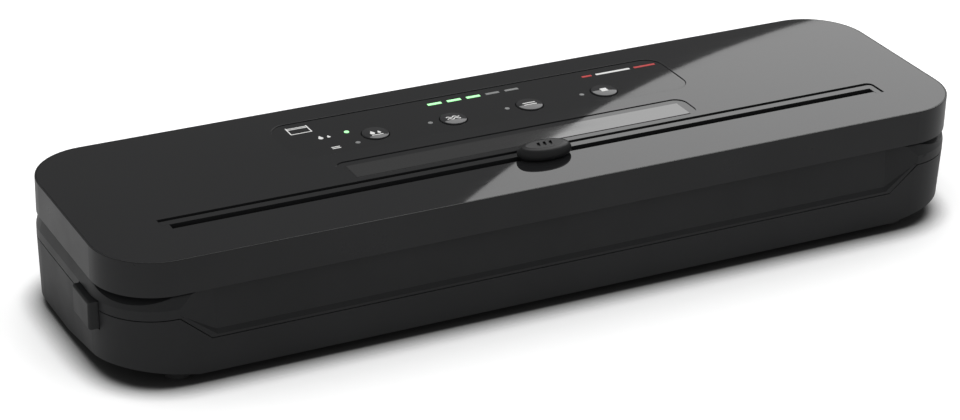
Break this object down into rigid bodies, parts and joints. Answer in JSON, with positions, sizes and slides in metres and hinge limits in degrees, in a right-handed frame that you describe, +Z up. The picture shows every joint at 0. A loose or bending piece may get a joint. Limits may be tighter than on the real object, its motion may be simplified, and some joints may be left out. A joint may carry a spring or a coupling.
{
  "type": "vacuum sealer",
  "caption": "Slim countertop vacuum sealer with a rear-hinged lid, sliding bag cutter, push-button panel, release button, gaskets, heating strip and vacuum tray.",
  "frame": {"origin": "on the floor plane the feet stand on, under the middle of the whole machine's bounding box", "axes": "+X along the length towards the end with the cutter bar's free end, +Y from the front edge to the rear hinge, +Z up"},
  "size_m": [0.3734, 0.114, 0.058],
  "materials": {
    "case_plastic": "fine satin texture",
    "frame_plastic": "fine satin texture",
    "lid_plastic": "semi-gloss",
    "lid_gloss": "high gloss",
    "panel_film": "high gloss printed film",
    "window_clear": "smoked",
    "window_grey": "satin",
    "key_plastic": "semi-gloss",
    "light_on": "glowing diffuser",
    "light_off": "clear diffuser",
    "inner_plastic": "moulded",
    "gasket_foam": "closed-cell foam",
    "seal_silicone": "soft silicone",
    "heater_aluminium": "extruded",
    "heating_nichrome": "drawn ribbon",
    "ptfe_cloth": "coated glass cloth",
    "brass": "plain",
    "steel": "plain",
    "blade_steel": "ground",
    "board_green": "solder mask",
    "can_sleeve": "shrink sleeve",
    "relay_blue": "moulded",
    "sink_aluminium": "extruded",
    "core_iron": "laminated",
    "coil_tape": "wound tape",
    "pump_plastic": "moulded",
    "motor_steel": "zinc plated",
    "hose_silicone": "clear silicone",
    "foot_rubber": "moulded",
    "switch_black": "moulded",
    "hook_plastic": "moulded",
    "knob_plastic": "satin"
  },
  "bodies": {
    "base": {"lower_case": "case_plastic", "upper_frame": "frame_plastic", "lower_gasket": "gasket_foam", "drip_tray": "inner_plastic", "heater_bar": "heater_aluminium", "heating_wire": "heating_nichrome", "ptfe_tape": "ptfe_cloth", "wire_clamps": "brass", "vacuum_pump": "pump_plastic", "pump_motor": "motor_steel", "pump_mounts": "foot_rubber", "suction_hose": "hose_silicone", "valve_hose": "hose_silicone", "release_valve": "switch_black", "transformer_coil": "coil_tape", "transformer_core": "core_iron", "main_board": "board_green", "board_capacitors": "can_sleeve", "board_relay": "relay_blue", "heat_sink": "sink_aluminium", "power_inlet": "switch_black", "inlet_pins": "brass", "feet": "foot_rubber", "case_screws": "steel", "hinge_pins": "steel", "lid_switch": "switch_black"},
    "lid": {"lid_shell": "lid_plastic", "lid_top_plate": "lid_gloss", "control_overlay": "panel_film", "window_pane": "window_clear", "window_backing": "window_grey", "lights_on": "light_on", "lights_off": "light_off", "lid_inner_cover": "inner_plastic", "cover_screws": "steel", "seal_strip": "seal_silicone", "upper_gasket": "gasket_foam", "lid_board": "board_green", "key_switches": "switch_black", "latch_hooks": "hook_plastic"},
    "cutter_bar": {"cutter_bar": "lid_gloss"},
    "cutter_carriage": {"cutter_knob": "knob_plastic", "cutter_blade": "blade_steel"},
    "key_mode": {"key_mode": "key_plastic"},
    "key_pulse": {"key_pulse": "key_plastic"},
    "key_seal": {"key_seal": "key_plastic"},
    "key_vacuum": {"key_vacuum": "key_plastic"},
    "release": {"release_button": "knob_plastic", "latch_bar": "hook_plastic"}
  },
  "joints": [
    {"name": "lid_hinge", "type": "hinge", "parent": "base", "child": "lid", "pos_m": [0.0014, 0.0527, 0.03875], "axis": [-1, 0, 0], "range_deg": [0, 92]},
    {"name": "cutter_bar_lift", "type": "hinge", "parent": "lid", "child": "cutter_bar", "pos_m": [-0.15405, -0.0273, 0.053], "axis": [0, -1, 0], "range_deg": [0, 6]},
    {"name": "cutter_slide", "type": "slide", "parent": "cutter_bar", "child": "cutter_carriage", "axis": [1, 0, 0], "range_m": [-0.1495, 0.148]},
    {"name": "press_mode", "type": "slide", "parent": "lid", "child": "key_mode", "axis": [0, 0, -1], "range_m": [0, 0.0006], "stiffness_N_per_m": 800, "springref_m": -0.0006},
    {"name": "press_pulse", "type": "slide", "parent": "lid", "child": "key_pulse", "axis": [0, 0, -1], "range_m": [0, 0.0006], "stiffness_N_per_m": 800, "springref_m": -0.0006},
    {"name": "press_seal", "type": "slide", "parent": "lid", "child": "key_seal", "axis": [0, 0, -1], "range_m": [0, 0.0006], "stiffness_N_per_m": 800, "springref_m": -0.0006},
    {"name": "press_vacuum", "type": "slide", "parent": "lid", "child": "key_vacuum", "axis": [0, 0, -1], "range_m": [0, 0.0006], "stiffness_N_per_m": 800, "springref_m": -0.0006},
    {"name": "press_release", "type": "slide", "parent": "base", "child": "release", "axis": [1, 0, 0], "range_m": [0, 0.0025], "stiffness_N_per_m": 600, "springref_m": -0.001}
  ]
}
